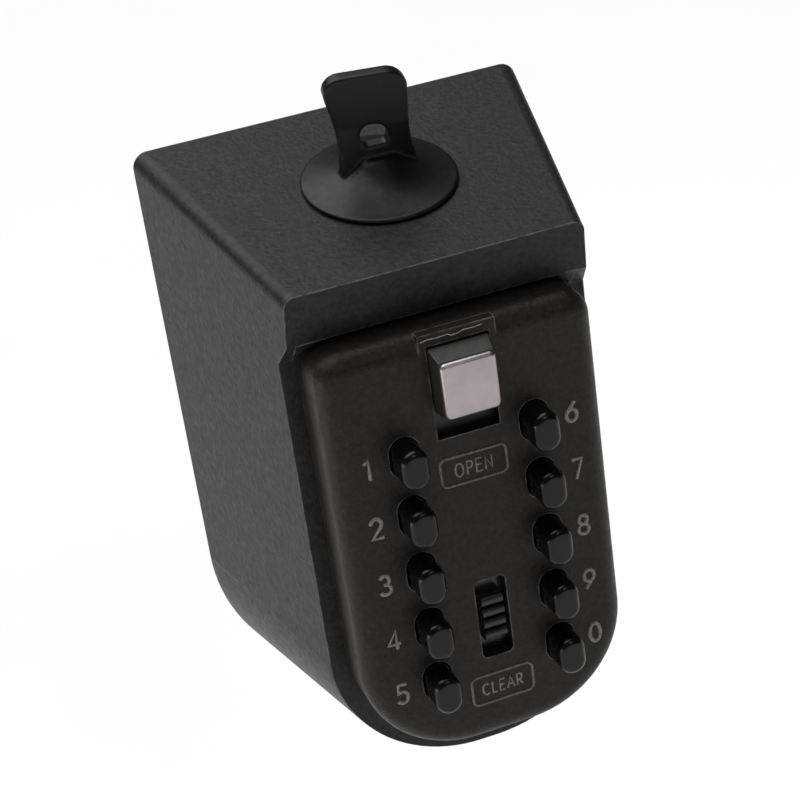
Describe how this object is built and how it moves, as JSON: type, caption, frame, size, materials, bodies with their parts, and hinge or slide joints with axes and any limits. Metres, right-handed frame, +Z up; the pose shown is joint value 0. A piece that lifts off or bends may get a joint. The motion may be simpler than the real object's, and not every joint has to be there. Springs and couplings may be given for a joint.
{
  "type": "key lock box",
  "caption": "Wall-mounted key lock box with a push-button door, an opening lever, a clear slider and a key compartment.",
  "frame": {"origin": "middle of the flat wall face", "axes": "+Z up, +X to the right seen from the front, the front faces -Y, +Y into the wall"},
  "size_m": [0.075, 0.0639, 0.1362],
  "materials": {
    "case_coating": "fine textured powder coat",
    "door_coating": "fine textured powder coat",
    "plate_steel": "black coated steel",
    "screw_steel": "zinc plated",
    "housing_plastic": "moulded",
    "rear_zinc": "die-cast zinc",
    "button_black": "satin gloss",
    "spring_steel": "spring wire",
    "dial_brass": "die-cast zinc",
    "lever_black": "moulded",
    "lever_chrome": "bright plated",
    "slider_black": "glossy",
    "cup_rubber": "smooth"
  },
  "bodies": {
    "case": {"case_shell": "case_coating", "back_plate": "plate_steel", "back_plate_screws": "screw_steel", "hinge_pin": "screw_steel"},
    "door": {"door_cover": "door_coating", "mechanism_housing": "housing_plastic", "rear_plate": "rear_zinc", "rear_plate_screws": "screw_steel", "lever_spring": "spring_steel", "clear_spring": "spring_steel", "button_spring_1": "spring_steel", "button_spring_2": "spring_steel", "button_spring_3": "spring_steel", "button_spring_4": "spring_steel", "button_spring_5": "spring_steel", "button_spring_6": "spring_steel", "button_spring_7": "spring_steel", "button_spring_8": "spring_steel", "button_spring_9": "spring_steel", "button_spring_0": "spring_steel"},
    "lever": {"lever_block": "lever_black", "lever_face": "lever_chrome", "latch_bolt": "rear_zinc"},
    "clear": {"clear_slider": "slider_black"},
    "cup": {"suction_cup": "cup_rubber"},
    "button_1": {"button_1": "button_black"},
    "dial_1": {"code_dial_1": "dial_brass"},
    "button_2": {"button_2": "button_black"},
    "dial_2": {"code_dial_2": "dial_brass"},
    "button_3": {"button_3": "button_black"},
    "dial_3": {"code_dial_3": "dial_brass"},
    "button_4": {"button_4": "button_black"},
    "dial_4": {"code_dial_4": "dial_brass"},
    "button_5": {"button_5": "button_black"},
    "dial_5": {"code_dial_5": "dial_brass"},
    "button_6": {"button_6": "button_black"},
    "dial_6": {"code_dial_6": "dial_brass"},
    "button_7": {"button_7": "button_black"},
    "dial_7": {"code_dial_7": "dial_brass"},
    "button_8": {"button_8": "button_black"},
    "dial_8": {"code_dial_8": "dial_brass"},
    "button_9": {"button_9": "button_black"},
    "dial_9": {"code_dial_9": "dial_brass"},
    "button_0": {"button_0": "button_black"},
    "dial_0": {"code_dial_0": "dial_brass"}
  },
  "joints": [
    {"name": "door_hinge", "type": "hinge", "parent": "case", "child": "door", "pos_m": [0, -0.0502, -0.0417], "axis": [1, 0, 0], "range_deg": [0, 90]},
    {"name": "button_1_press", "type": "slide", "parent": "door", "child": "button_1", "axis": [0, 1, 0], "range_m": [0, 0.0022], "stiffness_N_per_m": 400, "springref_m": -0.0015, "deforming": ["button_spring_1"]},
    {"name": "dial_1_turn", "type": "hinge", "parent": "door", "child": "dial_1", "pos_m": [-0.01195, -0.0415, 0.0165], "axis": [0, -1, 0], "range_deg": [0, 180]},
    {"name": "button_2_press", "type": "slide", "parent": "door", "child": "button_2", "axis": [0, 1, 0], "range_m": [0, 0.0022], "stiffness_N_per_m": 400, "springref_m": -0.0015, "deforming": ["button_spring_2"]},
    {"name": "dial_2_turn", "type": "hinge", "parent": "door", "child": "dial_2", "pos_m": [-0.01195, -0.0415, 0.00514], "axis": [0, -1, 0], "range_deg": [0, 180]},
    {"name": "button_3_press", "type": "slide", "parent": "door", "child": "button_3", "axis": [0, 1, 0], "range_m": [0, 0.0022], "stiffness_N_per_m": 400, "springref_m": -0.0015, "deforming": ["button_spring_3"]},
    {"name": "dial_3_turn", "type": "hinge", "parent": "door", "child": "dial_3", "pos_m": [-0.01195, -0.0415, -0.00622], "axis": [0, -1, 0], "range_deg": [0, 180]},
    {"name": "button_4_press", "type": "slide", "parent": "door", "child": "button_4", "axis": [0, 1, 0], "range_m": [0, 0.0022], "stiffness_N_per_m": 400, "springref_m": -0.0015, "deforming": ["button_spring_4"]},
    {"name": "dial_4_turn", "type": "hinge", "parent": "door", "child": "dial_4", "pos_m": [-0.01195, -0.0415, -0.01758], "axis": [0, -1, 0], "range_deg": [0, 180]},
    {"name": "button_5_press", "type": "slide", "parent": "door", "child": "button_5", "axis": [0, 1, 0], "range_m": [0, 0.0022], "stiffness_N_per_m": 400, "springref_m": -0.0015, "deforming": ["button_spring_5"]},
    {"name": "dial_5_turn", "type": "hinge", "parent": "door", "child": "dial_5", "pos_m": [-0.01195, -0.0415, -0.02894], "axis": [0, -1, 0], "range_deg": [0, 180]},
    {"name": "button_6_press", "type": "slide", "parent": "door", "child": "button_6", "axis": [0, 1, 0], "range_m": [0, 0.0022], "stiffness_N_per_m": 400, "springref_m": -0.0015, "deforming": ["button_spring_6"]},
    {"name": "dial_6_turn", "type": "hinge", "parent": "door", "child": "dial_6", "pos_m": [0.01195, -0.0415, 0.0165], "axis": [0, -1, 0], "range_deg": [0, 180]},
    {"name": "button_7_press", "type": "slide", "parent": "door", "child": "button_7", "axis": [0, 1, 0], "range_m": [0, 0.0022], "stiffness_N_per_m": 400, "springref_m": -0.0015, "deforming": ["button_spring_7"]},
    {"name": "dial_7_turn", "type": "hinge", "parent": "door", "child": "dial_7", "pos_m": [0.01195, -0.0415, 0.00514], "axis": [0, -1, 0], "range_deg": [0, 180]},
    {"name": "button_8_press", "type": "slide", "parent": "door", "child": "button_8", "axis": [0, 1, 0], "range_m": [0, 0.0022], "stiffness_N_per_m": 400, "springref_m": -0.0015, "deforming": ["button_spring_8"]},
    {"name": "dial_8_turn", "type": "hinge", "parent": "door", "child": "dial_8", "pos_m": [0.01195, -0.0415, -0.00622], "axis": [0, -1, 0], "range_deg": [0, 180]},
    {"name": "button_9_press", "type": "slide", "parent": "door", "child": "button_9", "axis": [0, 1, 0], "range_m": [0, 0.0022], "stiffness_N_per_m": 400, "springref_m": -0.0015, "deforming": ["button_spring_9"]},
    {"name": "dial_9_turn", "type": "hinge", "parent": "door", "child": "dial_9", "pos_m": [0.01195, -0.0415, -0.01758], "axis": [0, -1, 0], "range_deg": [0, 180]},
    {"name": "button_0_press", "type": "slide", "parent": "door", "child": "button_0", "axis": [0, 1, 0], "range_m": [0, 0.0022], "stiffness_N_per_m": 400, "springref_m": -0.0015, "deforming": ["button_spring_0"]},
    {"name": "dial_0_turn", "type": "hinge", "parent": "door", "child": "dial_0", "pos_m": [0.01195, -0.0415, -0.02894], "axis": [0, -1, 0], "range_deg": [0, 180]},
    {"name": "lever_pull", "type": "slide", "parent": "door", "child": "lever", "axis": [0, 0, -1], "range_m": [0, 0.005], "stiffness_N_per_m": 500, "springref_m": -0.002, "deforming": ["lever_spring"]},
    {"name": "clear_slide", "type": "slide", "parent": "door", "child": "clear", "axis": [0, 0, -1], "range_m": [0, 0.003], "stiffness_N_per_m": 300, "springref_m": -0.002, "deforming": ["clear_spring"]},
    {"name": "cup_pull_off", "type": "slide", "parent": "case", "child": "cup", "axis": [0, -0.2261, 0.9741], "range_m": [0, 0.06]}
  ]
}
